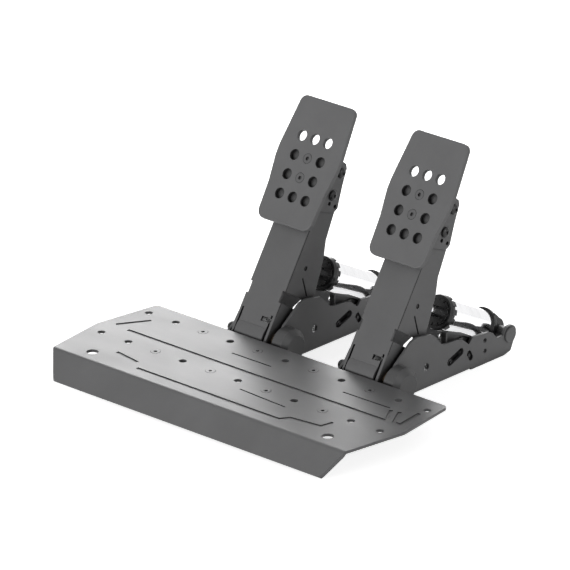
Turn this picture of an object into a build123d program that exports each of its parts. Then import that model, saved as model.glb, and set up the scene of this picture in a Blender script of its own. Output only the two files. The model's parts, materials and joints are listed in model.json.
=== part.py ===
from build123d import *
import os
from math import atan2, cos, pi, radians, sin, sqrt

os.makedirs("parts", exist_ok=True)

# Sim racing pedal set: a bent heel plate carries two pedals, brake on the left and throttle on the right.
# Millimetres. The origin is under the middle of the set, on the floor. X is across the set, Y points away
# from the driver and Z is up. Most places are first given from the heel plate's back row of holes:
# y from the row, z from the plate's top face, x from the middle of the set or of the pedal.

# Sheet stock, screws and running fits
SHEET = 2.5
M5_R = 2.5
M5_FREE_R = 2.75
M5_NUT_R = 4.6
M5_NUT_H = 4.0
M5_SINK_R = 4.8
M5_BUTTON_R = 4.75
M5_BUTTON_H = 2.8
M5_TIP = 1.0
KEY_R = 1.73
KEY_DEPTH = 1.4
PIN_GAP = 0.05
PRESS_GAP = 0.02
SIDE_GAP = 0.3
OVERCUT = 1.0

# Heel plate
DECK_TOP = 25.5
HOLE_PITCH = 32.5
ROW_GAP = 60.25
ROW_HOLE_R = 3.5
SCREW_STEPS = (-3, -1, 1, 3)
OPEN_STEPS = (-5, -4, -2, 0, 2, 4, 5)
PEDAL_STEPS = 4
DECK_BACK = 18.2
DECK_MARGIN = 7.5
DECK_FLARE = 9.5
DECK_WIDE_Y = 48.0
DECK_BEND_Y = 113.0
FLANGE_RUN = 16.0
FLANGE_DROP = 22.6
FLANGE_TAPER = 15.0
DECK_BACK_R = 5.0
DECK_SIDE_R = 10.0
DECK_FOOT_R = 13.0
DECK_BEND_R = 4.0
BIG_HOLE_R = 5.25
BIG_HOLE_IN = 32.8
BIG_HOLE_Y = 97.8
BEAD_W = 3.4
THIN_BEAD_W = 1.6
BEAD_DEPTH = 0.8

# Base channels
NUT_ROOM = 0.9
FOOT_EDGE = 9.5
FOOT_BACK = 14.0
CHANNEL_FRONT = 78.0
CHANNEL_BEND_R = 3.0
FLOOR_END_Y = 139.0
CROSS_STRIP_Y = 174.0
CROSS_STRIP = 8.0
PIVOT_Y = 38.7
PIVOT_Z = -6.8
LOBE_R = 17.0
PEAK_RISE = 33.3
REAR_PIN_Y = 190.5
REAR_PIN_Z = -8.0
EAR_R = 8.8
WINDOW_MARGIN = 4.0
BASE_HOLE_R = 3.3
BASE_HOLE_GAP = 24.0
BASE_HOLE_PITCH = 40.0
BASE_HOLE_Y = 98.0
WALL_HOLE_R = 2.25
WALL_HOLE_Y = 157.4
WALL_HOLE_Z = -8.55
WALL_HOLE_PITCH = 9.9
ROUND_HOLE_Y = 79.8
ROUND_HOLE_Z = -4.7
ROUND_HOLE_R = 3.3
SLOT_Y = 118.0
SLOT_Z = -7.2
SLOT_LONG = 15.0
SLOT_R = 3.6
SLOT_TILT = 20.0
SHORT_SLOT_Y = 137.3
SHORT_SLOT_Z = -11.6
SHORT_SLOT_LONG = 5.0
SHORT_SLOT_R = 2.8
SHORT_SLOT_TILT = -62.0

# Pivot
AXLE_R = 4.0
AXLE_HEAD_R = 7.0
AXLE_HEAD_H = 3.0
AXLE_TAIL_R = 3.0
AXLE_TAIL = 7.0
BUSH_WALL = 2.5
BUSH_LONG = 10.0
BUSH_LIP = 3.0
HUB_R = 16.0
HUB_DISC_R = 11.0
HUB_RIM = 10.5
HUB_LONG = 15.4
HUB_HOLLOW_R = 12.5
HUB_HOLLOW = 8.5
CAP_R = 5.2
CAP_LONG = 10.4
CAP_CROWN = 2.4

# Arm
ARM_PLAY = 4.0
ARM_FRONT = 16.0
ARM_TOP = 167.4
ARM_TOP_DEPTH = 11.8
PAD_LEAN = 32.63
ARM_CORNER_R = 0.8
SEAM_BACK = 0.7
SEAM_W = 0.7
SEAM_DEPTH = 0.8
FOOT_TUBE_R = 17.4
FOOT_GAP = 2.0
ARM_SLOT_LOW = 32.0
ARM_SLOT_HIGH = 42.8
ARM_SLOT_BACK = 12.0
SLIT_W = 1.6
SLIT_TOP = 59.9
SLIT_LONG = 20.0
SLIT_TILT = 48.2
WEB_SLOT_LOW = 12.0
WEB_SLOT_H = 4.4
WEB_SLOT_IN = 6.5
WEB_NOTCH_H = 10.0

# Pad and its bracket
PAD_STAND = 13.0
PAD_CENTRE = 176.4
PAD_T = 4.0
PAD_TOP = 35.5
PAD_TOP_HALF = 31.2
PAD_WIDE_HALF = 35.8
PAD_WIDE_HIGH = 12.0
PAD_WIDE_LOW = 22.0
PAD_NECK_HALF = 32.2
PAD_NECK = 46.0
PAD_FOOT_HALF = 30.8
PAD_FOOT = 79.7
PAD_TOP_R = 7.0
PAD_SIDE_R = 14.0
PAD_FOOT_R = 8.5
PAD_EDGE_R = 0.8
PAD_HOLE_R = 5.0
PAD_HOLE_X = 15.0
PAD_ROW = 18.1
PAD_ROWS = 4
PAD_SCREW_ROWS = (1, 2)
BEND_R = 3.0
BRACKET_FOOT = 117.0
BRACKET_LONG = 49.8
BRACKET_DEPTH = 31.9
BRACKET_SCREW_F = 6.4
BRACKET_SCREW_HIGH = 157.5
BRACKET_SCREW_LOW = 136.4
SMALL_HOLE_R = 1.85
SMALL_HOLE_UP = 128.6
SMALL_HOLE_F = 1.75
SMALL_HOLE_GAP = 8.6

# Damper
FRONT_PIN_Y = 75.0
FRONT_PIN_Z = 51.5
FRONT_PIN_R = 4.0
PIN_END_R = 2.2
PIN_SINK = 0.8
EYE_R = 8.6
EYE_HALF = 7.0
EYE_PLAY = 0.65
SPACER_R = 6.4
ROD_R = 5.5
ROD_TAIL_R = 4.0
ROD_TAIL = 3.0
PISTON_AT = 71.0
PISTON_H = 8.0
PISTON_GROOVE = 1.0
TUBE_R = 14.0
TUBE_WALL = 2.0
TUBE_END = 119.9
SLEEVE_R = 12.6
SLEEVE_PROUD = 1.0
SLEEVE_SPIGOT = 5.0
SLEEVE_NOTCHES = 12
SLEEVE_NOTCH_W = 1.4
SLEEVE_NOTCH_LONG = 2.6
SLEEVE_NOTCH_DEPTH = 1.0
RING_R = 16.0
RING_FRONT_R = 15.2
RING_T = 8.5
RING_TEETH = 12
RING_GROOVE_W = 3.2
RING_GROOVE_DEPTH = 2.1
RING_GROOVE_LONG = 5.6
THROTTLE_RING = 63.4
BRAKE_RING = 56.1
END_RIM_R = 16.0
END_RIM = 4.0
END_SPIGOT = 4.0
REAR_EYE_R = 11.0
REAR_EYE_HALF = 11.0
REAR_PIN_R = 4.0
REAR_HEAD_R = 7.0
REAR_HEAD_H = 1.5
REAR_NUT_R = 7.0
REAR_NUT_H = 4.0
REAR_SPACER_R = 5.6
SPRING_R = 8.8
SPRING_WIRE_R = 1.3
SPRING_TURNS = 5
SPRING_SAMPLES = 300
QUARTERS = 4

# Sensor housing on the inside of the right wall
HOUSING_T = 5.3
HOUSING_FRONT = 108.0
HOUSING_TOP = 18.0
HOUSING_LONG = 37.7
HOUSING_TALL = 35.5
HOUSING_SHELL = 1.8
SOCKET_W = 2.6
SOCKET_H = 8.0
SOCKET_R = 0.8
SOCKET_Z = -10.5
SOCKET_DEPTH = 6.0
BOSS_R = 3.2
BOSS_Y = 6.0
BOSS_BACK = 7.7
BOSS_Z = -12.0
HOUSING_SCREW_R = 1.5
HOUSING_HEAD_R = 2.8
HOUSING_BITE = 1.6
BOARD_LONG = 20.0
BOARD_H = 12.0
BOARD_T = 1.6
BOARD_Y = 15.0

# Worked out from the sizes above
ORIGIN_Y = (REAR_PIN_Y + REAR_EYE_R - DECK_BEND_Y - FLANGE_RUN) / 2
DECK_BACK_HALF = HOLE_PITCH * max(OPEN_STEPS) + DECK_MARGIN
DECK_WIDE_HALF = DECK_BACK_HALF + DECK_FLARE
BIG_HOLE_X = DECK_BACK_HALF - BIG_HOLE_IN
WALL_X = HOLE_PITCH - M5_NUT_R - NUT_ROOM
WALL_IN = WALL_X - SHEET
FOOT_X = HOLE_PITCH + FOOT_EDGE
ARM_HALF = WALL_IN - ARM_PLAY
ARM_IN = ARM_HALF - SHEET
BOSS_GAP = HOUSING_LONG - BOSS_Y - BOSS_BACK
FLOOR_Z = -DECK_TOP
PEDAL_X = HOLE_PITCH * PEDAL_STEPS / 2
LINK_Y = REAR_PIN_Y - FRONT_PIN_Y
LINK_Z = FRONT_PIN_Z - REAR_PIN_Z
LINK_LONG = sqrt(LINK_Y**2 + LINK_Z**2)
LINK_TILT = atan2(LINK_Z, LINK_Y)
TUBE_IN = TUBE_R - TUBE_WALL
LEAN = radians(PAD_LEAN)
PAD_FRONT = ARM_FRONT + PAD_STAND
BRACKET_FRONT = PAD_FRONT - PAD_T
BRACKET_HALF = ARM_HALF + SHEET
END_FRONT = TUBE_END - END_SPIGOT
BUSH_R = AXLE_R + BUSH_WALL


# Working planes
def level(z, x=0, y=0):
    return Plane(origin=(x, y - ORIGIN_Y, DECK_TOP + z), x_dir=(1, 0, 0), z_dir=(0, 0, 1))


def side(x, y=0):
    """A plane across X: its own x is y from the back row, its own y is z from the plate's top."""
    return Plane(origin=(x, y - ORIGIN_Y, DECK_TOP), x_dir=(0, 1, 0), z_dir=(1, 0, 0))


def across(x, y):
    """A plane across Y, seen from the driver's seat."""
    return Plane(origin=(x, y - ORIGIN_Y, DECK_TOP), x_dir=(1, 0, 0), z_dir=(0, -1, 0))


def pin_side(x, y, z, way=1):
    """A plane across X at a pin, facing left or right."""
    return Plane(origin=(x, y - ORIGIN_Y, DECK_TOP + z), x_dir=(0, 1, 0), z_dir=(way, 0, 0))


def pin(x, y, z, way=1):
    """A plane for turned pieces that lie across the set: its own x runs along X."""
    return Plane(origin=(x, y - ORIGIN_Y, DECK_TOP + z), x_dir=(way, 0, 0), z_dir=(0, -way, 0))


def from_pivot(x, up, front):
    """A point given by its length up the arm and its length in front of the pivot."""
    y = PIVOT_Y - ORIGIN_Y + up * sin(LEAN) - front * cos(LEAN)
    z = DECK_TOP + PIVOT_Z + up * cos(LEAN) + front * sin(LEAN)
    return (x, y, z)


def arm_side(x):
    """A plane across X at the pivot: its own x runs up the arm and its own y towards the driver."""
    return Plane(origin=from_pivot(x, 0, 0), x_dir=(0, sin(LEAN), cos(LEAN)), z_dir=(1, 0, 0))


def arm_face(x, front, up=0):
    """A plane that faces the driver, square to the arm."""
    return Plane(origin=from_pivot(x, up, front), x_dir=(1, 0, 0), z_dir=(0, -cos(LEAN), sin(LEAN)))


def arm_across(x, up):
    """A plane square to the arm's length: its own y points to the driver."""
    return Plane(origin=from_pivot(x, up, 0), x_dir=(1, 0, 0), z_dir=(0, -sin(LEAN), -cos(LEAN)))


def link_side(x):
    """A plane across X at the front pin: its own x runs down the damper's axis to the rear pin."""
    origin = (x, FRONT_PIN_Y - ORIGIN_Y, DECK_TOP + FRONT_PIN_Z)
    return Plane(origin=origin, x_dir=(0, cos(LINK_TILT), -sin(LINK_TILT)), z_dir=(1, 0, 0))


def link_across(x, along):
    """A plane square to the damper's axis, a length behind the front pin."""
    y = FRONT_PIN_Y - ORIGIN_Y + along * cos(LINK_TILT)
    z = DECK_TOP + FRONT_PIN_Z - along * sin(LINK_TILT)
    return Plane(origin=(x, y, z), x_dir=(1, 0, 0), z_dir=(0, cos(LINK_TILT), -sin(LINK_TILT)))


def on_arm(y, z):
    """Turns a place seen from the side into a length up the arm and a length in front of the pivot."""
    dy = y - PIVOT_Y
    dz = z - PIVOT_Z
    return (dy * sin(LEAN) + dz * cos(LEAN), dz * sin(LEAN) - dy * cos(LEAN))


# Helpers
def write(piece, name):
    piece.part.label = name
    export_step(piece.part, f"parts/{name}.step")


def loop(points):
    """Draws a closed outline; a third number at a point is its corner's radius."""
    corners = [point[2] if len(point) > 2 else 0 for point in points]
    with BuildLine() as outline:
        FilletPolyline(*[point[:2] for point in points], radius=corners, close=True)
    make_face(outline.line)


def turned(plane, profile, mode=Mode.ADD):
    """Turns a profile about the plane's own x axis: lengths along it, then radii."""
    with BuildSketch(plane) as half:
        loop(profile)
    revolve(half.sketch, axis=Axis(plane.origin, plane.x_dir), mode=mode)


def sunk_screws(spots, long):
    """Flush screws: a 45 degree head that ends in the shank, a tip and a hexagon socket."""
    head = M5_SINK_R - M5_R
    for spot in spots:
        along = Plane(origin=spot.origin, x_dir=-spot.z_dir, z_dir=spot.x_dir)
        turned(along, [(0, 0), (0, M5_SINK_R - PIN_GAP), (head, M5_R), (long, M5_R), (long, 0)])
    with BuildSketch(*spots) as sockets:
        RegularPolygon(KEY_R, 6)
    extrude(sockets.sketch, amount=-KEY_DEPTH, mode=Mode.SUBTRACT)


def nuts(spots):
    """Hexagon nuts that stand up from each spot."""
    with BuildSketch(*spots) as hexagons:
        RegularPolygon(M5_NUT_R, 6)
        Circle(M5_R + PIN_GAP, mode=Mode.SUBTRACT)
    extrude(hexagons.sketch, amount=M5_NUT_H)


# Outlines
def wall_outline():
    """The side wall: its top edge climbs from the heel plate over the peak and falls to the rear ear."""
    span = REAR_PIN_Y - PIVOT_Y
    edge_shares = (
        (-0.031, 0.255, 0.4), (0.009, 0.490, 0.4), (0.140, 0.940, 0.4), (0.190, 1.0, 0.4),
        (0.256, 0.952, 0.4), (0.325, 0.886, 0.15), (0.369, 0.685, 0.15), (0.395, 0.535, 0.2),
        (0.425, 0.480, 0.3), (0.534, 0.453, 0.4), (0.587, 0.381, 0.3), (0.640, 0.180, 0.05),
        (0.675, 0.342, 0.08), (0.8155, 0.288, 0.2), (0.851, 0.213, 0.15), (0.887, 0.021, 0.1),
        (0.945, 0.010, 0), (1.0, 0.015, 0), (1.052, -0.10, 0), (1.009, -0.50, 0.1),
    )
    points = [(-CHANNEL_FRONT, -2 * SHEET), (PIVOT_Y - 0.099 * span, -2 * SHEET)]
    for along, up, round_share in edge_shares:
        points.append((PIVOT_Y + along * span, PIVOT_Z + up * PEAK_RISE, round_share * LOBE_R))
    points += [(PIVOT_Y + 0.951 * span, FLOOR_Z, SHEET), (-CHANNEL_FRONT, FLOOR_Z)]
    return points


def wall_shape():
    loop(wall_outline())
    with Locations((REAR_PIN_Y, REAR_PIN_Z)):
        Circle(EAR_R)


def arm_outline():
    """The arm from the side: straight front, stepped back edge, and the lobe about the pivot."""
    back_shares = (
        (0.975, -0.063), (0.885, 0.113), (0.793, 0.363), (0.734, 0.493),
        (0.591, 0.692), (0.498, 1.088), (0.321, 1.475),
    )
    points = [(0, ARM_FRONT), (ARM_TOP, ARM_FRONT), (ARM_TOP, ARM_FRONT - ARM_TOP_DEPTH, SHEET)]
    for up, behind in back_shares:
        points.append((ARM_TOP * up, -ARM_FRONT * behind, SHEET))
    points += [(0, -LOBE_R)]
    return points


def bracket_outline():
    """The pad bracket from the side, from its web's foot round its top and back edge."""
    shares = (
        (0, 0), (1, 0), (1, 0.649), (0.928, 0.749), (0.627, 0.837), (0.315, 0.962),
        (0.231, 1.0), (0.12, 0.915), (0.028, 0.226),
    )
    points = []
    for up, behind in shares:
        points.append((BRACKET_FOOT + up * BRACKET_LONG, BRACKET_FRONT - behind * BRACKET_DEPTH))
    return points


def pad_outline():
    half = [
        (PAD_TOP_HALF, PAD_TOP, PAD_TOP_R), (PAD_WIDE_HALF, -PAD_WIDE_HIGH, PAD_SIDE_R),
        (PAD_WIDE_HALF, -PAD_WIDE_LOW, PAD_SIDE_R), (PAD_NECK_HALF, -PAD_NECK, PAD_SIDE_R),
        (PAD_FOOT_HALF, -PAD_FOOT, PAD_FOOT_R),
    ]
    return half + [(-x, y, r) for x, y, r in reversed(half)]


def housing_outline():
    """The sensor housing from the side: sloping top that rounds over into the rear end."""
    shares = (
        (0, 0), (0.08, 0), (0.39, 0.13), (0.68, 0.245), (0.90, 0.37),
        (0.99, 0.455), (1.0, 0.637), (0.965, 0.74), (0.90, 1), (0, 1),
    )
    points = []
    for along, down in shares:
        y = HOUSING_FRONT + along * HOUSING_LONG
        points.append((y, HOUSING_TOP - down * HOUSING_TALL, HOUSING_SHELL))
    return points


def housing_bosses():
    first = HOUSING_FRONT + BOSS_Y
    return [(first, BOSS_Z), (first + BOSS_GAP, BOSS_Z)]


# Heel plate and what fastens it
def heel_plate():
    """Bent from one sheet: a flat deck and a sloping front flange, with pressed beads and holes."""
    front = DECK_BEND_Y + FLANGE_RUN
    half = [
        (DECK_BACK_HALF, DECK_BACK, DECK_BACK_R), (DECK_WIDE_HALF, -DECK_WIDE_Y, DECK_SIDE_R),
        (DECK_BACK_HALF, -DECK_BEND_Y, DECK_BEND_R), (DECK_BACK_HALF - FLANGE_TAPER, -front, DECK_FOOT_R),
    ]
    thick_bead_shares = (
        ((-0.922, -0.30), (-0.829, -0.09)),
        ((-0.829, -0.318), (-0.032, -0.318), (0.835, -0.308)),
        ((-0.674, -0.65), (-0.516, -0.686)),
        ((-0.465, -0.762), (0.455, -0.762), (0.485, -0.697), (0.661, -0.666), (0.674, -0.569)),
        ((0.777, -0.157), (0.831, -0.281)),
        ((0.824, -0.142), (0.883, -0.294), (0.924, -0.298), (0.904, -0.074)),
    )
    thin_bead_shares = (
        ((-0.255, -0.143), (-0.002, -0.14)),
        ((0.077, -0.565), (0.383, -0.589)),
        ((0.463, -0.143), (0.758, -0.136)),
    )
    with BuildPart() as deck:
        with BuildSketch(side(-DECK_WIDE_HALF - OVERCUT)):
            with BuildLine():
                FilletPolyline(
                    (DECK_BACK + OVERCUT, 0), (-DECK_BEND_Y, 0), (-front, -FLANGE_DROP), radius=DECK_BEND_R
                )
                offset(amount=SHEET, side=Side.LEFT)
            make_face()
        extrude(amount=2 * (DECK_WIDE_HALF + OVERCUT))
        with BuildSketch(level(FLOOR_Z)):
            loop(half + [(-x, y, r) for x, y, r in reversed(half)])
        extrude(amount=DECK_TOP + OVERCUT, mode=Mode.INTERSECT)
        for bead_shares, wide in ((thick_bead_shares, BEAD_W), (thin_bead_shares, THIN_BEAD_W)):
            for shares in bead_shares:
                with BuildSketch(level(0)):
                    with BuildLine():
                        Polyline(*[(x * DECK_WIDE_HALF, y * front) for x, y in shares])
                    trace(line_width=wide)
                extrude(amount=-BEAD_DEPTH, mode=Mode.SUBTRACT)
        with BuildSketch(level(0)):
            for row in (0, -ROW_GAP):
                with Locations(*[(HOLE_PITCH * step, row) for step in OPEN_STEPS]):
                    Circle(ROW_HOLE_R)
            with Locations((-BIG_HOLE_X, -BIG_HOLE_Y), (BIG_HOLE_X, -BIG_HOLE_Y)):
                Circle(BIG_HOLE_R)
        extrude(amount=-SHEET - OVERCUT, mode=Mode.SUBTRACT)
        with Locations(*deck_screw_spots()):
            CounterSinkHole(M5_FREE_R, M5_SINK_R, SHEET + OVERCUT)
    write(deck, "heel_plate")


def deck_screw_spots(z=0):
    return [level(z, HOLE_PITCH * step, row) for step in SCREW_STEPS for row in (0, -ROW_GAP)]


def heel_plate_fasteners():
    with BuildPart() as screws:
        sunk_screws(deck_screw_spots(), 2 * SHEET + M5_NUT_H + M5_TIP)
    write(screws, "heel_plate_screws")
    with BuildPart() as under:
        nuts(deck_screw_spots(-2 * SHEET - M5_NUT_H))
    write(under, "heel_plate_nuts")


# Base of one pedal
def base_channel(name, mid):
    """One bent sheet: a floor, two tall side walls, and feet turned out under the heel plate."""
    corner = (Align.MIN, Align.MIN)
    top = PIVOT_Z + PEAK_RISE
    with BuildPart() as channel:
        with BuildSketch(across(mid, -CHANNEL_FRONT)):
            with BuildLine():
                FilletPolyline(
                    (-WALL_X, top), (-WALL_X, FLOOR_Z), (WALL_X, FLOOR_Z), (WALL_X, top),
                    radius=CHANNEL_BEND_R,
                )
                offset(amount=SHEET, side=Side.LEFT)
            make_face()
        extrude(amount=-CHANNEL_FRONT - FLOOR_END_Y)
        with BuildSketch(side(mid - WALL_X - OVERCUT)):
            wall_shape()
        extrude(amount=2 * (WALL_X + OVERCUT), mode=Mode.INTERSECT)
        for x in (mid - WALL_X, mid + WALL_IN):
            with BuildSketch(side(x)):
                wall_shape()
                with Locations((FLOOR_END_Y, FLOOR_Z - OVERCUT)):
                    Rectangle(REAR_PIN_Y, DECK_TOP + PEAK_RISE, align=corner, mode=Mode.INTERSECT)
            extrude(amount=SHEET)
        with BuildSketch(level(FLOOR_Z, mid)):
            with Locations((0, CROSS_STRIP_Y)):
                Rectangle(2 * WALL_IN, CROSS_STRIP, align=(Align.CENTER, Align.MIN))
        extrude(amount=SHEET)
        with BuildSketch(level(-2 * SHEET)):
            foot = FOOT_X - WALL_IN
            for x in (mid - WALL_IN - foot / 2, mid + WALL_IN + foot / 2):
                with Locations((x, FOOT_BACK)):
                    Rectangle(foot, FOOT_BACK + CHANNEL_FRONT, align=(Align.CENTER, Align.MAX))
        extrude(amount=SHEET)
        with BuildSketch(side(mid - WALL_X - OVERCUT)):
            with Locations((PIVOT_Y, PIVOT_Z)):
                Circle(AXLE_R + PIN_GAP)
            with Locations((REAR_PIN_Y, REAR_PIN_Z)):
                Circle(REAR_PIN_R + PIN_GAP)
            with Locations((WALL_HOLE_Y, WALL_HOLE_Z)):
                with GridLocations(WALL_HOLE_PITCH, WALL_HOLE_PITCH, 1, 2):
                    Circle(WALL_HOLE_R)
            with Locations((ROUND_HOLE_Y, ROUND_HOLE_Z)):
                Circle(ROUND_HOLE_R)
            with Locations((SLOT_Y, SLOT_Z)):
                SlotCenterToCenter(SLOT_LONG, 2 * SLOT_R, rotation=SLOT_TILT)
            with Locations((SHORT_SLOT_Y, SHORT_SLOT_Z)):
                SlotCenterToCenter(SHORT_SLOT_LONG, 2 * SHORT_SLOT_R, rotation=SHORT_SLOT_TILT)
        extrude(amount=2 * (WALL_X + OVERCUT), mode=Mode.SUBTRACT)
        with BuildSketch(level(FLOOR_Z - OVERCUT, mid)):
            window = LOBE_R + WINDOW_MARGIN
            with Locations((0, PIVOT_Y)):
                Rectangle(2 * (ARM_HALF + PIN_GAP), 2 * window)
            with Locations((0, BASE_HOLE_Y)):
                with GridLocations(BASE_HOLE_GAP, BASE_HOLE_PITCH, 2, 2):
                    Circle(BASE_HOLE_R)
        extrude(amount=2 * SHEET, mode=Mode.SUBTRACT)
        with BuildSketch(level(-3 * SHEET)):
            for side_x in (mid - HOLE_PITCH, mid + HOLE_PITCH):
                with Locations((side_x, 0), (side_x, -ROW_GAP)):
                    Circle(M5_FREE_R)
        extrude(amount=3 * SHEET, mode=Mode.SUBTRACT)
        with BuildSketch(side(mid + WALL_IN - OVERCUT)):
            with Locations(*housing_bosses()):
                Circle(HOUSING_SCREW_R + PIN_GAP)
        extrude(amount=HOUSING_BITE + OVERCUT, mode=Mode.SUBTRACT)
    write(channel, f"{name}_base_channel")


def sensor_housing(name, mid):
    """A moulded shell, open to the wall, with two screw bosses and a cable socket at its rear."""
    bosses = housing_bosses()
    inner = mid + WALL_IN - HOUSING_T
    with BuildPart() as shell:
        with BuildSketch(side(inner)):
            loop(housing_outline())
        extrude(amount=HOUSING_T)
        with BuildSketch(side(inner + HOUSING_SHELL)):
            loop(housing_outline())
            offset(amount=-HOUSING_SHELL, mode=Mode.REPLACE)
            with Locations(*bosses):
                Circle(BOSS_R, mode=Mode.SUBTRACT)
        extrude(amount=HOUSING_T - HOUSING_SHELL, mode=Mode.SUBTRACT)
        with BuildSketch(side(inner - OVERCUT)):
            with Locations(*bosses):
                Circle(HOUSING_SCREW_R + PIN_GAP)
        extrude(amount=HOUSING_T + 2 * OVERCUT, mode=Mode.SUBTRACT)
        head = HOUSING_HEAD_R - HOUSING_SCREW_R
        for y, z in bosses:
            cone = [(0, 0), (0, HOUSING_HEAD_R), (head, HOUSING_SCREW_R), (head, 0)]
            turned(pin(inner, y, z), cone, mode=Mode.SUBTRACT)
        middle = inner + HOUSING_SHELL + (HOUSING_T - HOUSING_SHELL) / 2
        with BuildSketch(across(middle, HOUSING_FRONT + HOUSING_LONG)):
            with Locations((0, SOCKET_Z)):
                RectangleRounded(SOCKET_W, SOCKET_H, SOCKET_R)
        extrude(amount=SOCKET_DEPTH, mode=Mode.SUBTRACT)
    write(shell, f"{name}_sensor_housing")
    with BuildPart() as board:
        with BuildSketch(side(inner + HOUSING_SHELL, HOUSING_FRONT + BOARD_Y)):
            Rectangle(BOARD_LONG, BOARD_H)
        extrude(amount=BOARD_T)
    write(board, f"{name}_sensor_board")
    with BuildPart() as screws:
        for y, z in bosses:
            long = HOUSING_T + HOUSING_BITE - SIDE_GAP
            shank = [(head, HOUSING_SCREW_R), (long, HOUSING_SCREW_R), (long, 0)]
            turned(pin(inner, y, z), [(0, 0), (0, HOUSING_HEAD_R - PIN_GAP)] + shank)
    write(screws, f"{name}_housing_screws")


# Pivot of one pedal
def pivot(name, mid):
    """A shouldered axle held by a domed nut on the left and covered by a round hub on the right."""
    with BuildPart() as hub:
        turned(
            pin(mid + WALL_X, PIVOT_Y, PIVOT_Z),
            [
                (0, HUB_HOLLOW_R), (0, HUB_R), (HUB_RIM, HUB_R), (HUB_LONG, HUB_DISC_R), (HUB_LONG, 0),
                (HUB_HOLLOW, 0), (HUB_HOLLOW, HUB_HOLLOW_R),
            ],
        )
    write(hub, f"{name}_pivot_hub")
    with BuildPart() as axle:
        long = 2 * WALL_X
        turned(
            pin(mid - WALL_X, PIVOT_Y, PIVOT_Z),
            [
                (-AXLE_TAIL, 0), (-AXLE_TAIL, AXLE_TAIL_R), (0, AXLE_TAIL_R), (0, AXLE_R), (long, AXLE_R),
                (long, AXLE_HEAD_R), (long + AXLE_HEAD_H, AXLE_HEAD_R), (long + AXLE_HEAD_H, 0),
            ],
        )
    write(axle, f"{name}_pivot_axle")
    with BuildPart() as cap:
        bore = AXLE_TAIL_R + PIN_GAP
        turned(
            pin(mid - WALL_X, PIVOT_Y, PIVOT_Z, -1),
            [
                (0, bore), (0, CAP_R), (CAP_LONG, CAP_R, CAP_R - PIN_GAP), (CAP_LONG, 0),
                (CAP_LONG - CAP_CROWN, 0), (CAP_LONG - CAP_CROWN, bore),
            ],
        )
    write(cap, f"{name}_pivot_cap")
    with BuildPart() as bushes:
        bore = AXLE_R + PIN_GAP
        lip = BUSH_R + BUSH_LIP
        lip_t = WALL_IN - ARM_HALF - SIDE_GAP
        for way in (-1, 1):
            turned(
                pin(mid + way * ARM_HALF, PIVOT_Y, PIVOT_Z, way),
                [
                    (-BUSH_LONG, bore), (-BUSH_LONG, BUSH_R), (0, BUSH_R), (0, lip),
                    (lip_t, lip), (lip_t, bore),
                ],
            )
    write(bushes, f"{name}_pivot_bushes")


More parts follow.
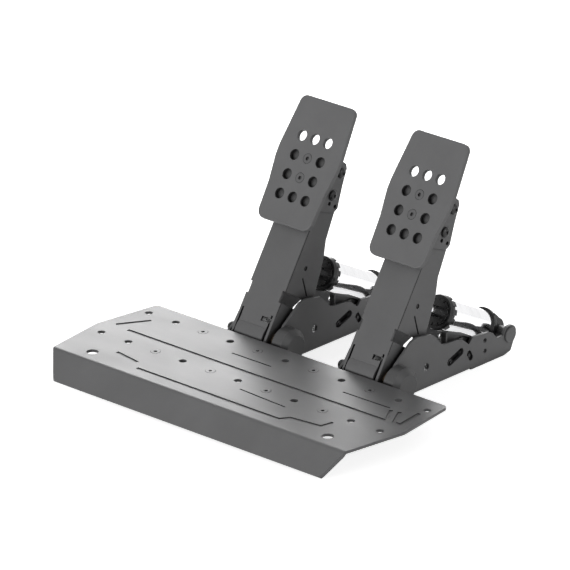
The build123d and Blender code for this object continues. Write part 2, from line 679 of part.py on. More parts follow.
# Arm of one pedal
def arm(name, mid):
    """A folded sheet lever: front web, two slotted flanges, and a stepped tube welded across its foot."""
    notch_top = WEB_SLOT_LOW + WEB_SLOT_H / 2 + WEB_NOTCH_H / 2
    foot_end = ARM_IN - FOOT_GAP
    with BuildPart() as lever:
        with BuildSketch(arm_across(mid, -LOBE_R)):
            loop([
                (-ARM_HALF, -2 * LOBE_R), (-ARM_HALF, ARM_FRONT, ARM_CORNER_R),
                (ARM_HALF, ARM_FRONT, ARM_CORNER_R), (ARM_HALF, -2 * LOBE_R),
            ])
            with Locations((0, ARM_FRONT - SHEET)):
                reach = ARM_FRONT + 2 * LOBE_R
                Rectangle(2 * ARM_IN, reach, align=(Align.CENTER, Align.MAX), mode=Mode.SUBTRACT)
        extrude(amount=-ARM_TOP - LOBE_R)
        with BuildSketch(arm_side(mid - ARM_HALF - OVERCUT)):
            loop(arm_outline())
            Circle(LOBE_R)
        extrude(amount=2 * (ARM_HALF + OVERCUT), mode=Mode.INTERSECT)
        with BuildSketch(arm_side(mid - ARM_IN)):
            Circle(FOOT_TUBE_R + PRESS_GAP)
        extrude(amount=2 * ARM_IN, mode=Mode.SUBTRACT)
        for x in (mid - ARM_IN, mid + foot_end):
            with BuildSketch(arm_side(x)):
                with Locations((0, ARM_FRONT + OVERCUT)):
                    Rectangle(notch_top, SHEET + 2 * OVERCUT, align=(Align.MIN, Align.MAX))
            extrude(amount=FOOT_GAP, mode=Mode.SUBTRACT)
        with BuildSketch(arm_across(mid, notch_top)):
            with Locations((0, ARM_FRONT - SEAM_BACK - SEAM_W / 2)):
                with GridLocations(2 * ARM_HALF, 0, 2, 1):
                    Rectangle(2 * SEAM_DEPTH, SEAM_W)
        extrude(amount=notch_top - ARM_TOP - OVERCUT, mode=Mode.SUBTRACT)
        with BuildSketch(arm_side(mid - ARM_HALF - OVERCUT)):
            Circle(BUSH_R + PRESS_GAP)
            with Locations(on_arm(FRONT_PIN_Y, FRONT_PIN_Z)):
                Circle(PIN_END_R + PIN_GAP)
            with Locations((SLIT_TOP, 0)):
                SlotOverall(SLIT_LONG, SLIT_W, rotation=SLIT_TILT, align=(Align.MAX, Align.CENTER))
            with Locations((BRACKET_SCREW_HIGH, BRACKET_SCREW_F), (BRACKET_SCREW_LOW, BRACKET_SCREW_F)):
                Circle(M5_FREE_R)
            with Locations((SMALL_HOLE_UP, SMALL_HOLE_F)):
                with GridLocations(SMALL_HOLE_GAP, SMALL_HOLE_GAP, 1, 2):
                    Circle(SMALL_HOLE_R)
        extrude(amount=2 * (ARM_HALF + OVERCUT), mode=Mode.SUBTRACT)
        for x in (mid - ARM_HALF - OVERCUT, mid + ARM_IN):
            with BuildSketch(arm_side(x)):
                with Locations((ARM_SLOT_LOW, -ARM_SLOT_BACK)):
                    deep = ARM_SLOT_BACK + ARM_FRONT + OVERCUT
                    Rectangle(ARM_SLOT_HIGH - ARM_SLOT_LOW, deep, align=(Align.MIN, Align.MIN))
            extrude(amount=SHEET + OVERCUT, mode=Mode.SUBTRACT)
        with BuildSketch(arm_face(mid, ARM_FRONT - SHEET - OVERCUT)):
            with Locations((WEB_SLOT_IN, WEB_SLOT_LOW)):
                Rectangle(ARM_IN - WEB_SLOT_IN, WEB_SLOT_H, align=(Align.MIN, Align.MIN))
        extrude(amount=SHEET + 2 * OVERCUT, mode=Mode.SUBTRACT)
    write(lever, f"{name}_arm")
    with BuildPart() as tube:
        bore = BUSH_R + PRESS_GAP
        step = ARM_FRONT - SHEET
        turned(
            pin(mid, PIVOT_Y, PIVOT_Z),
            [
                (-ARM_IN, bore), (-ARM_IN, step), (-foot_end, step), (-foot_end, FOOT_TUBE_R),
                (foot_end, FOOT_TUBE_R), (foot_end, step), (ARM_IN, step), (ARM_IN, bore),
            ],
        )
    write(tube, f"{name}_arm_pivot_tube")


# Pad of one pedal and its bracket
def pad_bracket(name, mid):
    """A folded channel that wraps the top of the arm and carries the pad on its web."""
    with BuildPart() as bracket:
        back = BRACKET_FRONT - BRACKET_DEPTH - OVERCUT
        with BuildSketch(arm_across(mid, BRACKET_FOOT)):
            with BuildLine():
                FilletPolyline(
                    (-BRACKET_HALF, back), (-BRACKET_HALF, BRACKET_FRONT), (BRACKET_HALF, BRACKET_FRONT),
                    (BRACKET_HALF, back), radius=BEND_R,
                )
                offset(amount=SHEET, side=Side.RIGHT)
            make_face()
        extrude(amount=-BRACKET_LONG)
        with BuildSketch(arm_side(mid - BRACKET_HALF - OVERCUT)):
            loop(bracket_outline())
        extrude(amount=2 * (BRACKET_HALF + OVERCUT), mode=Mode.INTERSECT)
        with BuildSketch(arm_side(mid - BRACKET_HALF - OVERCUT)):
            with Locations((BRACKET_SCREW_HIGH, BRACKET_SCREW_F), (BRACKET_SCREW_LOW, BRACKET_SCREW_F)):
                Circle(M5_FREE_R)
            with Locations((SMALL_HOLE_UP, SMALL_HOLE_F)):
                with GridLocations(SMALL_HOLE_GAP, SMALL_HOLE_GAP, 1, 2):
                    Circle(SMALL_HOLE_R)
        extrude(amount=2 * (BRACKET_HALF + OVERCUT), mode=Mode.SUBTRACT)
        with BuildSketch(arm_face(mid, BRACKET_FRONT - SHEET - OVERCUT)):
            with Locations(*[(0, PAD_CENTRE - PAD_ROW * row) for row in PAD_SCREW_ROWS]):
                Circle(M5_FREE_R)
        extrude(amount=SHEET + 2 * OVERCUT, mode=Mode.SUBTRACT)
    write(bracket, f"{name}_pad_bracket")


def bracket_fasteners(name, mid):
    """Button heads on both sides of the bracket, with nuts inside the arm."""
    spots = [(up, way) for up in (BRACKET_SCREW_HIGH, BRACKET_SCREW_LOW) for way in (-1, 1)]
    with BuildPart() as screws:
        long = 2 * SHEET + M5_NUT_H + M5_TIP
        for up, way in spots:
            origin = from_pivot(mid + way * BRACKET_HALF, up, BRACKET_SCREW_F)
            turned(
                Plane(origin=origin, x_dir=(way, 0, 0), z_dir=(0, -way, 0)),
                [
                    (-long, 0), (-long, M5_R), (0, M5_R), (0, M5_BUTTON_R),
                    (M5_BUTTON_H, M5_BUTTON_R, M5_BUTTON_H - PIN_GAP), (M5_BUTTON_H, 0),
                ],
            )
            head = from_pivot(mid + way * (BRACKET_HALF + M5_BUTTON_H), up, BRACKET_SCREW_F)
            with BuildSketch(Plane(origin=head, x_dir=(0, 1, 0), z_dir=(way, 0, 0))):
                RegularPolygon(KEY_R, 6)
            extrude(amount=-KEY_DEPTH, mode=Mode.SUBTRACT)
    write(screws, f"{name}_bracket_screws")
    with BuildPart() as inside:
        planes = []
        for up, way in spots:
            origin = from_pivot(mid + way * ARM_IN, up, BRACKET_SCREW_F)
            planes.append(Plane(origin=origin, x_dir=(0, 1, 0), z_dir=(-way, 0, 0)))
        nuts(planes)
    write(inside, f"{name}_bracket_nuts")


def pad(name, mid):
    """A flat foot plate with four rows of holes, two of them taken by its flush screws."""
    screw_spots = [arm_face(mid, PAD_FRONT, PAD_CENTRE - PAD_ROW * row) for row in PAD_SCREW_ROWS]
    with BuildPart() as plate:
        with BuildSketch(arm_face(mid, BRACKET_FRONT, PAD_CENTRE)):
            loop(pad_outline())
        extrude(amount=PAD_T)
        front = plate.faces().sort_by(Axis(from_pivot(mid, 0, 0), arm_face(mid, 0).z_dir))[-1]
        fillet(front.outer_wire().edges(), radius=PAD_EDGE_R)
        with BuildSketch(arm_face(mid, BRACKET_FRONT - OVERCUT, PAD_CENTRE)):
            for row in range(PAD_ROWS):
                for column in (-1, 0, 1):
                    if column or row not in PAD_SCREW_ROWS:
                        with Locations((column * PAD_HOLE_X, -row * PAD_ROW)):
                            Circle(PAD_HOLE_R)
        extrude(amount=PAD_T + 2 * OVERCUT, mode=Mode.SUBTRACT)
        with Locations(*screw_spots):
            CounterSinkHole(M5_FREE_R, M5_SINK_R, PAD_T + OVERCUT)
    write(plate, f"{name}_pad_plate")
    with BuildPart() as screws:
        sunk_screws(screw_spots, PAD_T + SHEET + M5_NUT_H + M5_TIP)
    write(screws, f"{name}_pad_screws")
    with BuildPart() as behind:
        depth = BRACKET_FRONT - SHEET - M5_NUT_H
        nuts([arm_face(mid, depth, PAD_CENTRE - PAD_ROW * row) for row in PAD_SCREW_ROWS])
    write(behind, f"{name}_pad_nuts")


# Damper of one pedal
def damper_ends(name, mid):
    """The pins and spacers that carry the damper in the arm and between the side walls."""
    end = ARM_HALF - PIN_SINK
    with BuildPart() as front_pin:
        turned(
            pin(mid, FRONT_PIN_Y, FRONT_PIN_Z),
            [
                (-end, 0), (-end, PIN_END_R), (-ARM_IN, PIN_END_R), (-ARM_IN, FRONT_PIN_R),
                (ARM_IN, FRONT_PIN_R), (ARM_IN, PIN_END_R), (end, PIN_END_R), (end, 0),
            ],
        )
    write(front_pin, f"{name}_front_pin")
    with BuildPart() as spacers:
        for way in (-1, 1):
            with BuildSketch(pin_side(mid + way * (EYE_HALF + SIDE_GAP), FRONT_PIN_Y, FRONT_PIN_Z, way)):
                Circle(SPACER_R)
                Circle(FRONT_PIN_R + PIN_GAP, mode=Mode.SUBTRACT)
            extrude(amount=ARM_IN - EYE_HALF - SIDE_GAP)
    write(spacers, f"{name}_rod_spacers")
    with BuildPart() as rear_pin:
        left = -WALL_X - REAR_NUT_H - M5_TIP
        turned(
            pin(mid, REAR_PIN_Y, REAR_PIN_Z),
            [
                (left, 0), (left, REAR_PIN_R), (WALL_X, REAR_PIN_R), (WALL_X, REAR_HEAD_R),
                (WALL_X + REAR_HEAD_H, REAR_HEAD_R, REAR_HEAD_H / 2), (WALL_X + REAR_HEAD_H, 0),
            ],
        )
    write(rear_pin, f"{name}_rear_pin")
    with BuildPart() as rear_nut:
        with BuildSketch(pin_side(mid - WALL_X, REAR_PIN_Y, REAR_PIN_Z, -1)):
            RegularPolygon(REAR_NUT_R, 6)
            Circle(REAR_PIN_R + PIN_GAP, mode=Mode.SUBTRACT)
        extrude(amount=REAR_NUT_H)
    write(rear_nut, f"{name}_rear_nut")
    with BuildPart() as rear_spacers:
        for way in (-1, 1):
            with BuildSketch(pin_side(mid + way * (REAR_EYE_HALF + SIDE_GAP), REAR_PIN_Y, REAR_PIN_Z, way)):
                Circle(REAR_SPACER_R)
                Circle(REAR_PIN_R + PIN_GAP, mode=Mode.SUBTRACT)
            extrude(amount=WALL_IN - REAR_EYE_HALF - SIDE_GAP)
    write(rear_spacers, f"{name}_rear_spacers")


def damper_rod(name, mid):
    """The polished rod with its eye, and the piston on its stepped end."""
    tail = PISTON_AT + PISTON_H
    with BuildPart() as rod:
        turned(
            link_side(mid),
            [
                (0, 0), (0, ROD_R), (PISTON_AT, ROD_R), (PISTON_AT, ROD_TAIL_R),
                (tail + ROD_TAIL, ROD_TAIL_R), (tail + ROD_TAIL, 0),
            ],
        )
        with BuildSketch(link_side(mid - EYE_HALF)):
            Circle(EYE_R)
        extrude(amount=2 * EYE_HALF)
        with BuildSketch(link_side(mid - EYE_HALF - OVERCUT)):
            Circle(FRONT_PIN_R + EYE_PLAY)
        extrude(amount=2 * (EYE_HALF + OVERCUT), mode=Mode.SUBTRACT)
    write(rod, f"{name}_damper_rod")
    with BuildPart() as piston:
        out = TUBE_IN - SIDE_GAP
        third = PISTON_H / 3
        turned(
            link_side(mid),
            [
                (PISTON_AT, ROD_TAIL_R + PRESS_GAP), (PISTON_AT, out), (PISTON_AT + third, out),
                (PISTON_AT + third, out - PISTON_GROOVE), (tail - third, out - PISTON_GROOVE),
                (tail - third, out), (tail, out), (tail, ROD_TAIL_R + PRESS_GAP),
            ],
        )
    write(piston, f"{name}_damper_piston")


def damper_body(name, mid, ring_end):
    """The polished tube between the notched sleeve in front and the black end cap behind."""
    front = ring_end - RING_T - SLEEVE_PROUD
    with BuildPart() as sleeve:
        turned(
            link_side(mid),
            [
                (front, ROD_R + PIN_GAP), (front, SLEEVE_R), (ring_end, SLEEVE_R),
                (ring_end, TUBE_IN - PRESS_GAP), (ring_end + SLEEVE_SPIGOT, TUBE_IN - PRESS_GAP),
                (ring_end + SLEEVE_SPIGOT, ROD_R + PIN_GAP),
            ],
        )
        with BuildSketch(link_across(mid, front)):
            with PolarLocations(SLEEVE_R - SLEEVE_NOTCH_LONG, SLEEVE_NOTCHES):
                notch_reach = SLEEVE_NOTCH_LONG + OVERCUT
                Rectangle(notch_reach, SLEEVE_NOTCH_W, align=(Align.MIN, Align.CENTER))
        extrude(amount=SLEEVE_NOTCH_DEPTH, mode=Mode.SUBTRACT)
    write(sleeve, f"{name}_threaded_sleeve")
    with BuildPart() as tube:
        with BuildSketch(link_across(mid, ring_end)):
            Circle(TUBE_R)
            Circle(TUBE_IN, mode=Mode.SUBTRACT)
        extrude(amount=TUBE_END - ring_end)
    write(tube, f"{name}_damper_tube")
    with BuildPart() as cap:
        turned(
            link_side(mid),
            [
                (END_FRONT, 0), (END_FRONT, TUBE_IN - PRESS_GAP), (TUBE_END, TUBE_IN - PRESS_GAP),
                (TUBE_END, END_RIM_R), (TUBE_END + END_RIM, END_RIM_R, SHEET / 2), (TUBE_END + END_RIM, 0),
            ],
        )
        with BuildSketch(link_side(mid - REAR_EYE_HALF)):
            with BuildLine():
                Polyline(
                    (TUBE_END + END_RIM / 2, -END_RIM_R + SHEET), (TUBE_END + END_RIM / 2, END_RIM_R - SHEET),
                    (LINK_LONG, REAR_EYE_R), (LINK_LONG, -REAR_EYE_R), close=True,
                )
            make_face()
            with Locations((LINK_LONG, 0)):
                Circle(REAR_EYE_R)
        extrude(amount=2 * REAR_EYE_HALF)
        with BuildSketch(link_side(mid - REAR_EYE_HALF - OVERCUT)):
            with Locations((LINK_LONG, 0)):
                Circle(REAR_PIN_R + PIN_GAP)
        extrude(amount=2 * (REAR_EYE_HALF + OVERCUT), mode=Mode.SUBTRACT)
    write(cap, f"{name}_damper_end_cap")


def preload_ring(name, mid, ring_end):
    """A knob ring on the sleeve's thread, with grip grooves round its rear edge."""
    with BuildPart() as ring:
        bore = SLEEVE_R + PIN_GAP * 2
        front = ring_end - RING_T
        turned(
            link_side(mid),
            [
                (front, bore), (front, RING_FRONT_R), (ring_end - RING_GROOVE_LONG, RING_R),
                (ring_end - SIDE_GAP, RING_R), (ring_end - SIDE_GAP, bore),
            ],
        )
        with BuildSketch(link_across(mid, ring_end - RING_GROOVE_LONG)):
            with PolarLocations(RING_R - RING_GROOVE_DEPTH, RING_TEETH):
                Rectangle(2 * RING_GROOVE_DEPTH, RING_GROOVE_W, align=(Align.MIN, Align.CENTER))
        extrude(amount=RING_GROOVE_LONG + OVERCUT, mode=Mode.SUBTRACT)
    write(ring, f"{name}_preload_ring")


def damper_spring(name, mid):
    """The return spring behind the piston: one wire whose coils follow a helix, in quarter turn arcs."""
    start = PISTON_AT + PISTON_H + SPRING_WIRE_R + SIDE_GAP
    end = END_FRONT - SPRING_WIRE_R - SIDE_GAP
    rise = (end - start) / (SPRING_TURNS * QUARTERS)
    plane = link_side(mid)
    sideways = Vector(1, 0, 0)
    steps = range(SPRING_TURNS * QUARTERS + 1)
    places = []
    for step in steps:
        angle = radians(step * 360 / QUARTERS)
        out = plane.y_dir * (SPRING_R * cos(angle)) + sideways * (SPRING_R * sin(angle))
        places.append(plane.origin + plane.x_dir * (start + rise * step) + out)
    with BuildPart() as spring:
        with BuildLine() as wire:
            pitch = rise * QUARTERS
            for step in steps[:-1]:
                angles = [radians((step + part) * 360 / QUARTERS) for part in (0, 1)]
                ways = []
                for angle in angles:
                    round_way = sideways * cos(angle) - plane.y_dir * sin(angle)
                    ways.append((round_way * (2 * pi * SPRING_R) + plane.x_dir * pitch).normalized())
                first, last = places[step], places[step + 1]
                chord = last - first
                bend = 2 * (1 - ways[0].dot(ways[1]))
                lean = chord.dot(ways[0] + ways[1])
                reach = (sqrt(lean**2 + bend * chord.dot(chord)) - lean) / bend
                meet = (first + last + (ways[0] - ways[1]) * reach) / 2
                TangentArc(first, meet, tangent=ways[0])
                TangentArc(last, meet, tangent=ways[1] * -1)
        with BuildSketch(Plane(origin=wire.line @ 0, z_dir=wire.line % 0)):
            Circle(SPRING_WIRE_R)
        sweep(path=wire.line)
    samples = [wire.line @ (step / SPRING_SAMPLES) for step in range(SPRING_SAMPLES + 1)]
    apart = SPRING_SAMPLES // (2 * SPRING_TURNS)
    near = min((samples[a] - samples[b]).length for b in range(SPRING_SAMPLES + 1) for a in range(b - apart))
    print(f"{name} spring: least gap to itself {near - 2 * SPRING_WIRE_R:.2f}")
    write(spring, f"{name}_damper_spring")


def pedal(name, mid, ring_end):
    base_channel(name, mid)
    sensor_housing(name, mid)
    pivot(name, mid)
    arm(name, mid)
    pad_bracket(name, mid)
    bracket_fasteners(name, mid)
    pad(name, mid)
    damper_ends(name, mid)
    damper_rod(name, mid)
    damper_body(name, mid, ring_end)
    preload_ring(name, mid, ring_end)
    damper_spring(name, mid)


heel_plate()
heel_plate_fasteners()
pedal("brake", -PEDAL_X, BRAKE_RING)
pedal("throttle", PEDAL_X, THROTTLE_RING)
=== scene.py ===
import json
import math

import bpy
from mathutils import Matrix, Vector

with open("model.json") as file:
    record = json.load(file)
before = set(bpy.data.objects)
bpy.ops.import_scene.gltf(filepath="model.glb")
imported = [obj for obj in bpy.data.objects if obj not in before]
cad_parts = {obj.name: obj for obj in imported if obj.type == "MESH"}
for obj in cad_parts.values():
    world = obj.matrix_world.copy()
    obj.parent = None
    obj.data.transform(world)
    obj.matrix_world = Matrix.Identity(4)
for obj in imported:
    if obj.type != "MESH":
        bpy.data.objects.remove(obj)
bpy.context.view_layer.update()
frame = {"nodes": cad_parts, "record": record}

# The photograph's view: a long lens, low from the front right corner. Angles are in degrees.
VIEW_AZIMUTH = 42.35
VIEW_ELEVATION = 21.92
CAMERA_PLACE = (3.4205, -3.78935, 2.1393)
IMAGE_SIDE = 570
FOCUS_PIXELS = 6368.0
SENSOR = 36.0
NEAREST = 0.1
FARTHEST = 100.0

# The room: how bright the world is to the light it casts, and what the floor adds for the camera
ROOM_LEVEL = 0.24
FLOOR_REACH = 30.0
FLOOR_GLOW = 0.75
FLOOR_SHADES = (0.8, 0.82)
WHITE = (1.0, 1.0, 1.0, 1.0)
LAMP_TARGET = (0.0, 0.0, 0.05)
SHEEN_TARGET = (-0.12, -0.08, 0.0255)

# Materials: the bands of a noise or mask value over which a change runs, from none to all of it
CLOUD_BAND = (0.3, 0.7)
SMEAR_BAND = (0.35, 0.7)
SPECK_BAND = (0.55, 0.8)
BREAKUP_BAND = (0.25, 0.6)
UPWARD_BAND = (0.4, 1.0)
TURNED_BAND = (0.995, 0.86)
# The occlusion band that brings in the painted shade in holes and folds
HOLLOW_SHADE_BAND = (0.8, 0.3)
WHOLE_BAND = (0.0, 1.0)

# Greys are a little cold, and coats reflect less than bare plastic
COLD = 1.015
COAT_GLOSS = 0.3
DUST_GREY = 0.3
DUST_SHARE = 0.1
# The grey of the painted shade in holes and folds, as a share of the coat's shade
HOLLOW_SHADE_SHARE = 0.1
DAMPER_AXIS = (0.0, 0.889, -0.458)


# Node helpers
def add(tree, kind, sockets=None, **settings):
    """One node, with its settings, then its sockets as values or as links from other sockets."""
    made = tree.nodes.new(kind)
    for name, value in settings.items():
        setattr(made, name, value)
    for name, value in (sockets or {}).items():
        if isinstance(value, bpy.types.NodeSocket):
            tree.links.new(value, made.inputs[name])
        else:
            made.inputs[name].default_value = value
    return made


def math_node(tree, operation, first, second, clamp=False):
    sockets = {0: first, 1: second}
    settings = {"operation": operation, "use_clamp": clamp}
    return add(tree, "ShaderNodeMath", sockets, **settings).outputs[0]


def blend_colour(tree, share, first, second):
    """The first colour at a share of nought, and the second at one."""
    sockets = {0: share, 6: first, 7: second}
    return add(tree, "ShaderNodeMix", sockets, data_type="RGBA").outputs[2]


def remap(tree, value, band, low=0.0, high=1.0):
    """Low at the band's start and high at its end, held there outside it."""
    sockets = {
        "Value": value, "From Min": band[0], "From Max": band[1], "To Min": low, "To Max": high,
    }
    return add(tree, "ShaderNodeMapRange", sockets).outputs["Result"]


def noise(tree, vector, scale, detail=3.0, roughness=0.5):
    sockets = {"Vector": vector, "Scale": scale, "Detail": detail, "Roughness": roughness}
    return add(tree, "ShaderNodeTexNoise", sockets).outputs["Fac"]


def dot(tree, first, second):
    sockets = {0: first, 1: second}
    return add(tree, "ShaderNodeVectorMath", sockets, operation="DOT_PRODUCT").outputs["Value"]


def bumped(tree, height, strength, distance, normal=None):
    sockets = {"Height": height, "Strength": strength, "Distance": distance}
    if normal is not None:
        sockets["Normal"] = normal
    return add(tree, "ShaderNodeBump", sockets).outputs["Normal"]


def grey(level):
    return (level, level, level * COLD, 1.0)


# Effects shared by several materials
def effect(name, inputs, outputs):
    """An empty node group with named inputs and outputs: (group, its inputs, its output node)."""
    group = bpy.data.node_groups.new(name, "ShaderNodeTree")
    for title, kind, value in inputs:
        socket = group.interface.new_socket(title, in_out="INPUT", socket_type=kind)
        if value is not None:
            socket.default_value = value
    for title, kind in outputs:
        group.interface.new_socket(title, in_out="OUTPUT", socket_type=kind)
    given = group.nodes.new("NodeGroupInput").outputs
    return group, given, group.nodes.new("NodeGroupOutput")


def make_coat_grain(wide_scale=0.3, wide_share=0.8):
    """Small soft pits from two sizes of noise, as a height, and a cloudy value beside them."""
    group, given, out = effect(
        "coat_grain",
        [
            ("Vector", "NodeSocketVector", None),
            ("Grain Scale", "NodeSocketFloat", 2200.0),
            ("Cloud Scale", "NodeSocketFloat", 22.0),
        ],
        [("Height", "NodeSocketFloat"), ("Cloud", "NodeSocketFloat")],
    )
    place, scale = given["Vector"], given["Grain Scale"]
    fine = noise(group, place, scale, detail=2.0, roughness=0.55)
    wide = noise(group, place, math_node(group, "MULTIPLY", scale, wide_scale), detail=2.0)
    height = math_node(group, "ADD", fine, math_node(group, "MULTIPLY", wide, wide_share))
    group.links.new(height, out.inputs["Height"])
    cloud = noise(group, place, given["Cloud Scale"], detail=4.0, roughness=0.6)
    group.links.new(cloud, out.inputs["Cloud"])
    return group


def make_edge_wear_and_gap_shade(least=0.35):
    """A mask where a rounded normal turns away from the flat one, broken up by noise: edge wear,
    and on flush screws a painted gap shade.
    """
    group, given, out = effect(
        "edge_wear_and_gap_shade",
        [
            ("Vector", "NodeSocketVector", None),
            ("Radius", "NodeSocketFloat", 0.0005),
            ("Breakup Scale", "NodeSocketFloat", 180.0),
        ],
        [("Mask", "NodeSocketFloat"), ("Normal", "NodeSocketVector")],
    )
    rounded = add(group, "ShaderNodeBevel", {"Radius": given["Radius"]}, samples=4)
    flat = add(group, "ShaderNodeNewGeometry").outputs["Normal"]
    turned = remap(group, dot(group, rounded.outputs["Normal"], flat), TURNED_BAND)
    broken = noise(group, given["Vector"], given["Breakup Scale"])
    kept = remap(group, broken, BREAKUP_BAND, low=least)
    mask = math_node(group, "MULTIPLY", turned, kept, clamp=True)
    group.links.new(mask, out.inputs["Mask"])
    group.links.new(rounded.outputs["Normal"], out.inputs["Normal"])
    return group


def make_hollow_shade():
    """Painted shade: a mask in holes, seams and folds, where this piece or the next closes off a
    short reach.
    """
    group, given, out = effect(
        "painted_hollow_shade", [("Reach", "NodeSocketFloat", 0.012)], [("Mask", "NodeSocketFloat")],
    )
    sockets = {"Distance": given["Reach"]}
    opened = add(group, "ShaderNodeAmbientOcclusion", sockets, samples=6)
    group.links.new(remap(group, opened.outputs["AO"], HOLLOW_SHADE_BAND), out.inputs["Mask"])
    return group


def make_handling(stretch=(1.0, 2.6, 1.0), speck_scale=900.0):
    """Faint smears and settled dust: wide noise for smears, and upward faces for dust."""
    group, given, out = effect(
        "handling",
        [("Vector", "NodeSocketVector", None), ("Smear Scale", "NodeSocketFloat", 14.0)],
        [("Smear", "NodeSocketFloat"), ("Dust", "NodeSocketFloat")],
    )
    place = given["Vector"]
    drawn_out = add(group, "ShaderNodeMapping", {"Vector": place, "Scale": stretch})
    drawn_out = drawn_out.outputs["Vector"]
    smear = noise(group, drawn_out, given["Smear Scale"], detail=5.0, roughness=0.6)
    group.links.new(remap(group, smear, SMEAR_BAND), out.inputs["Smear"])
    flat = add(group, "ShaderNodeNewGeometry").outputs["Normal"]
    up = remap(group, add(group, "ShaderNodeSeparateXYZ", {0: flat}).outputs["Z"], UPWARD_BAND)
    specks = remap(group, noise(group, place, speck_scale, detail=2.0, roughness=0.7), SPECK_BAND)
    group.links.new(math_node(group, "MULTIPLY", up, specks), out.inputs["Dust"])
    return group


def make_turning_marks():
    """Fine rings left by a lathe: a narrow band noise of the length along the damper's axis."""
    group, given, out = effect(
        "turning_marks",
        [
            ("Vector", "NodeSocketVector", None),
            ("Axis", "NodeSocketVector", DAMPER_AXIS),
            ("Ring Scale", "NodeSocketFloat", 2600.0),
        ],
        [("Height", "NodeSocketFloat")],
    )
    along = dot(group, given["Vector"], given["Axis"])
    place = add(group, "ShaderNodeCombineXYZ", {0: along}).outputs["Vector"]
    rings = noise(group, place, given["Ring Scale"], roughness=0.6)
    group.links.new(rings, out.inputs["Height"])
    return group


coat_grain = make_coat_grain()
edge_wear_and_gap_shade = make_edge_wear_and_gap_shade()
painted_hollow_shade = make_hollow_shade()
handling = make_handling()
turning_marks = make_turning_marks()


def begin(name):
    """A new material: (material, its tree, its shader's inputs, the object coordinates)."""
    made = bpy.data.materials.new(name)
    made.use_nodes = True
    tree = made.node_tree
    shader = next(node for node in tree.nodes if node.type == "BSDF_PRINCIPLED")
    return made, tree, shader.inputs, add(tree, "ShaderNodeTexCoord").outputs["Object"]


def use(tree, group, sockets):
    """Places a shared effect with its own values, and gives its outputs."""
    return add(tree, "ShaderNodeGroup", sockets, node_tree=group).outputs


# Materials
def powder_coat(name, shade, rough=0.42, edge=1.5, edge_share=0.5, edge_radius=0.0005):
    """Satin coat on steel: fine pits, cloudy tone, toned edges, painted shade in holes and folds,
    smears and dust.
    """
    dark, pale, uneven = 0.93, 1.07, 0.03
    made, tree, shader, place = begin(name)
    grain = use(tree, coat_grain, {"Vector": place})
    edges = use(tree, edge_wear_and_gap_shade, {"Vector": place, "Radius": edge_radius})
    marks = use(tree, handling, {"Vector": place})
    cloud = remap(tree, grain["Cloud"], CLOUD_BAND)
    base = blend_colour(tree, cloud, grey(shade * dark), grey(shade * pale))
    # Edge tone: lighter wear on coats, and on the flush screws a dark painted shade of the
    # countersink gap
    worn = math_node(tree, "MULTIPLY", edges["Mask"], edge_share)
    base = blend_colour(tree, worn, base, grey(shade * edge))
    dusty = math_node(tree, "MULTIPLY", marks["Dust"], DUST_SHARE)
    base = blend_colour(tree, dusty, base, grey(DUST_GREY))
    # Painted shade: holes, seams and folds are darkened in the colour where the occlusion mask
    # closes in
    hollow_shade_mask = use(tree, painted_hollow_shade, {})["Mask"]
    base = blend_colour(tree, hollow_shade_mask, base, grey(shade * HOLLOW_SHADE_SHARE))
    tree.links.new(base, shader["Base Color"])
    soft = remap(tree, marks["Smear"], WHOLE_BAND, rough + uneven, rough - uneven)
    soft = math_node(tree, "ADD", soft, math_node(tree, "MULTIPLY", cloud, uneven))
    tree.links.new(soft, shader["Roughness"])
    pits = {"strength": 0.22, "distance": 0.00006}
    normal = bumped(tree, grain["Height"], normal=edges["Normal"], **pits)
    tree.links.new(normal, shader["Normal"])
    shader["Specular IOR Level"].default_value = COAT_GLOSS
    return made


def black_steel(name, shade=0.035, rough=0.34):
    """Blackened screws and pins: dark metal, rubbed brighter on its edges, finely tumbled."""
    dark, pale, rubbed, smoother, rougher = 0.8, 1.25, 5.0, 0.05, 0.06
    made, tree, shader, place = begin(name)
    scales = {"Grain Scale": 3500.0, "Cloud Scale": 160.0}
    grain = use(tree, coat_grain, {"Vector": place, **scales})
    scales = {"Radius": 0.0003, "Breakup Scale": 500.0}
    edges = use(tree, edge_wear_and_gap_shade, {"Vector": place, **scales})
    cloud = remap(tree, grain["Cloud"], CLOUD_BAND)
    base = blend_colour(tree, cloud, grey(shade * dark), grey(shade * pale))
    base = blend_colour(tree, edges["Mask"], base, grey(shade * rubbed))
    tree.links.new(base, shader["Base Color"])
    soft = remap(tree, grain["Cloud"], CLOUD_BAND, rough - smoother, rough + rougher)
    tree.links.new(soft, shader["Roughness"])
    pits = {"strength": 0.12, "distance": 0.00003}
    normal = bumped(tree, grain["Height"], normal=edges["Normal"], **pits)
    tree.links.new(normal, shader["Normal"])
    shader["Metallic"].default_value = 0.85
    return made


def bright_metal(name, colour, rough, mark_strength):
    """Turned or plated metal: rings of turning marks, faint smears and a slightly uneven colour."""
    smeared, rougher, mark_depth = 0.92, 0.05, 0.00001
    made, tree, shader, place = begin(name)
    marks = use(tree, turning_marks, {"Vector": place})
    hands = use(tree, handling, {"Vector": place, "Smear Scale": 45.0})
    dull = tuple(channel * smeared for channel in colour)
    base = blend_colour(tree, hands["Smear"], (*colour, 1.0), (*dull, 1.0))
    tree.links.new(base, shader["Base Color"])
    soft = remap(tree, hands["Smear"], WHOLE_BAND, rough, rough + rougher)
    tree.links.new(soft, shader["Roughness"])
    tree.links.new(bumped(tree, marks["Height"], mark_strength, mark_depth), shader["Normal"])
    shader["Metallic"].default_value = 1.0
    return made


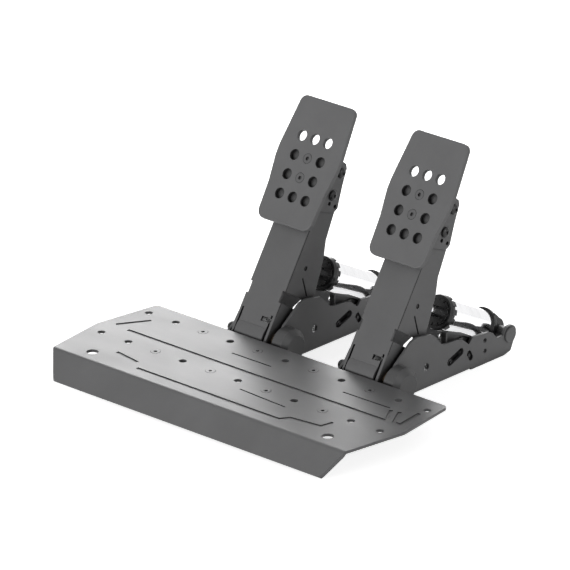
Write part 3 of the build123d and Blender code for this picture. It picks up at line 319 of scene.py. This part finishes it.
def black_anodised(name, shade=0.022, rough=0.3):
    """Anodised aluminium: satin black over turning marks, worn to grey along its edges."""
    dark, pale, worn, smoother, rougher = 0.85, 1.3, 6.0, 0.04, 0.05
    made, tree, shader, place = begin(name)
    marks = use(tree, turning_marks, {"Vector": place, "Ring Scale": 1900.0})
    scales = {"Radius": 0.0003, "Breakup Scale": 420.0}
    edges = use(tree, edge_wear_and_gap_shade, {"Vector": place, **scales})
    hands = use(tree, handling, {"Vector": place, "Smear Scale": 60.0})
    base = blend_colour(tree, hands["Smear"], grey(shade * dark), grey(shade * pale))
    base = blend_colour(tree, edges["Mask"], base, grey(shade * worn))
    tree.links.new(base, shader["Base Color"])
    soft = remap(tree, hands["Smear"], WHOLE_BAND, rough - smoother, rough + rougher)
    tree.links.new(soft, shader["Roughness"])
    rings = {"strength": 0.2, "distance": 0.00002}
    normal = bumped(tree, marks["Height"], normal=edges["Normal"], **rings)
    tree.links.new(normal, shader["Normal"])
    shader["Metallic"].default_value = 0.5
    return made


def moulded_black(name, shade=0.02, rough=0.48):
    """Moulded plastic: an even spark-eroded skin, a little shinier where hands have been."""
    dark, pale, rubbed, rub_share, rougher, smoother = 0.85, 1.2, 2.4, 0.5, 0.04, 0.08
    made, tree, shader, place = begin(name)
    scales = {"Grain Scale": 3000.0, "Cloud Scale": 60.0}
    grain = use(tree, coat_grain, {"Vector": place, **scales})
    hands = use(tree, handling, {"Vector": place, "Smear Scale": 50.0})
    edges = use(tree, edge_wear_and_gap_shade, {"Vector": place, "Radius": 0.0004})
    base = blend_colour(tree, grain["Cloud"], grey(shade * dark), grey(shade * pale))
    worn = math_node(tree, "MULTIPLY", edges["Mask"], rub_share)
    base = blend_colour(tree, worn, base, grey(shade * rubbed))
    tree.links.new(base, shader["Base Color"])
    soft = remap(tree, hands["Smear"], WHOLE_BAND, rough + rougher, rough - smoother)
    tree.links.new(soft, shader["Roughness"])
    skin = {"strength": 0.3, "distance": 0.00005}
    normal = bumped(tree, grain["Height"], normal=edges["Normal"], **skin)
    tree.links.new(normal, shader["Normal"])
    return made


finishes = {
    "powder_coat": powder_coat("powder_coat", 0.1),
    "pad_coat": powder_coat("pad_coat", 0.115, rough=0.45),
    "hub_coat": powder_coat("hub_coat", 0.062, rough=0.38),
    "black_screw": black_steel("blackened_steel"),
    # A dark ring round each flush screw: painted shade of the gap to its countersink, drawn with
    # the edge mask
    "coated_screw": powder_coat(
        "flush_screw_coat_gap_shade", 0.1, edge=0.1, edge_share=1.0, edge_radius=0.0009
    ),
    "zinc_nut": bright_metal("zinc_plate", (0.58, 0.58, 0.6), 0.3, 0.2),
    "plain_steel": bright_metal("ground_steel", (0.55, 0.55, 0.56), 0.25, 0.3),
    "polished_steel": bright_metal("hard_chrome", (0.9, 0.9, 0.91), 0.07, 0.1),
    "polished_tube": bright_metal("polished_tube", (0.93, 0.93, 0.94), 0.1, 0.15),
    "black_aluminium": black_anodised("black_anodised"),
    "black_plastic": moulded_black("moulded_black"),
    "circuit_board": moulded_black("board_lacquer", shade=0.015, rough=0.35),
    "bush_bronze": bright_metal("sintered_bronze", (0.16, 0.12, 0.08), 0.45, 0.3),
    "spring_steel": bright_metal("oiled_spring_steel", (0.3, 0.31, 0.33), 0.3, 0.2),
}


def dress_nodes():
    """Gives each CAD node the finish of its slot in the record."""
    for row in frame["record"]["subparts"]:
        for slot in frame["nodes"][row["node"]].material_slots:
            slot.material = finishes[row["material_slot"]]


# Studio
def area_lamp(name, azimuth, elevation, reach, size, power, target=LAMP_TARGET):
    """A soft box seen from its target: azimuth from the front towards the right, in degrees."""
    lamp = bpy.data.lights.new(name, "AREA")
    lamp.shape = "RECTANGLE"
    lamp.size, lamp.size_y = size
    lamp.energy = power
    lamp_object = bpy.data.objects.new(name, lamp)
    turn, rise = math.radians(azimuth), math.radians(elevation)
    across = math.cos(rise)
    away = Vector((math.sin(turn) * across, -math.cos(turn) * across, math.sin(rise)))
    lamp_object.location = Vector(target) + away * reach
    lamp_object.rotation_euler = (-away).to_track_quat("-Z", "Y").to_euler()
    lamp_object.visible_camera = False
    bpy.context.scene.collection.objects.link(lamp_object)


def seen_by(tree, *rays):
    """One for the named kinds of ray, and nought for the light that falls on the object."""
    path = add(tree, "ShaderNodeLightPath")
    seen = path.outputs[rays[0]]
    for ray in rays[1:]:
        seen = math_node(tree, "MAXIMUM", seen, path.outputs[ray])
    return seen


def world_light():
    """A pale even room that camera, mirror and glass rays see as white."""
    world = bpy.data.worlds.new("studio_world")
    bpy.context.scene.world = world
    world.use_nodes = True
    tree = world.node_tree
    background = next(node for node in tree.nodes if node.type == "BACKGROUND")
    seen = seen_by(tree, "Is Camera Ray", "Is Glossy Ray", "Is Transmission Ray")
    tree.links.new(remap(tree, seen, WHOLE_BAND, low=ROOM_LEVEL), background.inputs["Strength"])
    background.inputs["Color"].default_value = WHITE


def studio_floor():
    """A wide pale floor that camera and mirror rays see as white, with the object's shadow."""
    reach = FLOOR_REACH
    corners = [(-reach, -reach), (reach, -reach), (reach, reach), (-reach, reach)]
    mesh = bpy.data.meshes.new("studio_floor")
    mesh.from_pydata([(x, y, 0.0) for x, y in corners], [], [range(len(corners))])
    floor, tree, shader, place = begin("floor_paper")
    shades = [(shade, shade, shade, 1.0) for shade in FLOOR_SHADES]
    paper = blend_colour(tree, noise(tree, place, scale=2.0), *shades)
    tree.links.new(paper, shader["Base Color"])
    shader["Roughness"].default_value = 1.0
    shader["Specular IOR Level"].default_value = 0.0
    seen = seen_by(tree, "Is Camera Ray", "Is Glossy Ray")
    shader["Emission Color"].default_value = WHITE
    tree.links.new(math_node(tree, "MULTIPLY", seen, FLOOR_GLOW), shader["Emission Strength"])
    mesh.materials.append(floor)
    ground = bpy.data.objects.new("studio_floor", mesh)
    bpy.context.scene.collection.objects.link(ground)


def studio_camera():
    lens = bpy.data.cameras.new("studio_camera")
    lens.sensor_width = SENSOR
    lens.lens = FOCUS_PIXELS / IMAGE_SIDE * SENSOR
    lens.clip_start = NEAREST
    lens.clip_end = FARTHEST
    camera = bpy.data.objects.new("studio_camera", lens)
    camera.location = CAMERA_PLACE
    tilt = math.radians(90.0 - VIEW_ELEVATION)
    camera.rotation_euler = (tilt, 0.0, math.radians(VIEW_AZIMUTH))
    bpy.context.scene.collection.objects.link(camera)
    bpy.context.scene.camera = camera


dress_nodes()

world_light()
area_lamp("front_light", -8.0, 9.0, reach=3.0, size=(2.0, 1.0), power=66.0)
area_lamp("right_light", 92.0, 22.0, reach=3.0, size=(1.6, 1.0), power=27.0)
# A card where the left end of the heel plate mirrors the camera's view
area_lamp(
    "sheen_card", VIEW_AZIMUTH + 180.0, VIEW_ELEVATION,
    reach=1.1, size=(0.9, 0.6), power=12.5, target=SHEEN_TARGET,
)
studio_floor()
studio_camera()
bpy.context.scene.view_settings.view_transform = "Standard"
